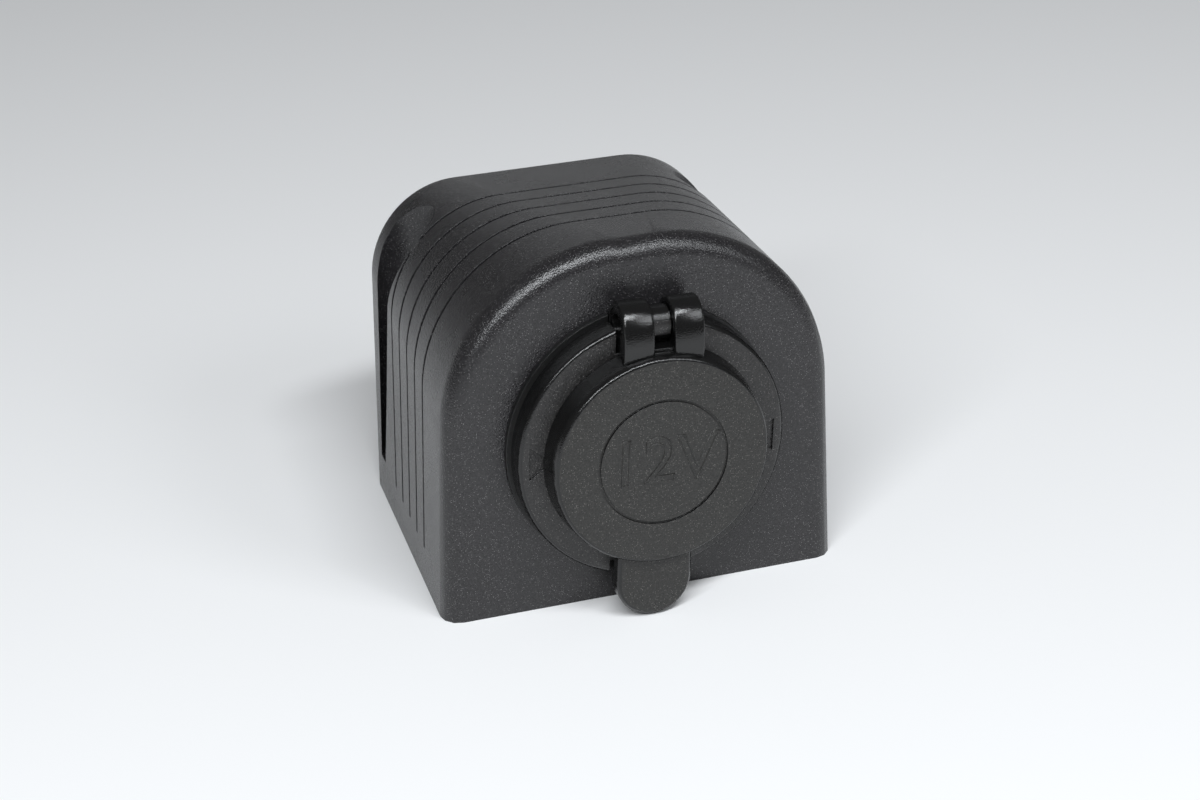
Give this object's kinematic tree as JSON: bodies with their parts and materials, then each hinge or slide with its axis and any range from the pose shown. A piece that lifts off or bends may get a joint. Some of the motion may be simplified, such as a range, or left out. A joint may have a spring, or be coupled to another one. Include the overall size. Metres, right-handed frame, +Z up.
{
  "type": "surface mount power socket",
  "caption": "Arched surface mount housing with side grooves and screw bores, holding a round accessory power socket under a hinged round cap with pull tab.",
  "frame": {"origin": "midpoint between the two screw holes on the mounting base plane", "axes": "+Z up from the mounting base, -Y towards the front face with the cap, +X to the right seen from the front"},
  "size_m": [0.055, 0.0533, 0.05],
  "materials": {
    "housing_plastic": "fine spark-eroded grain",
    "socket_plastic": "satin to gloss moulded",
    "cap_plastic": "fine grain on the face, gloss sides",
    "gasket_rubber": "smooth",
    "nickel": "bright plated",
    "brass": "bright",
    "insulator": "pressed board"
  },
  "bodies": {
    "base_unit": {"housing": "housing_plastic", "flange_gasket": "gasket_rubber", "socket_body": "socket_plastic", "clamp_ring": "socket_plastic", "contact_sleeve": "nickel", "insulator_disc": "insulator", "centre_contact": "brass", "positive_terminal": "brass", "hinge_pin": "socket_plastic"},
    "cap_unit": {"cap": "cap_plastic"}
  },
  "joints": [
    {"name": "cap_hinge", "type": "hinge", "parent": "base_unit", "child": "cap_unit", "pos_m": [0.00076, -0.03753, 0.04056], "axis": [-0.999, 0.0019, 0.0436], "range_deg": [0, 120]}
  ]
}
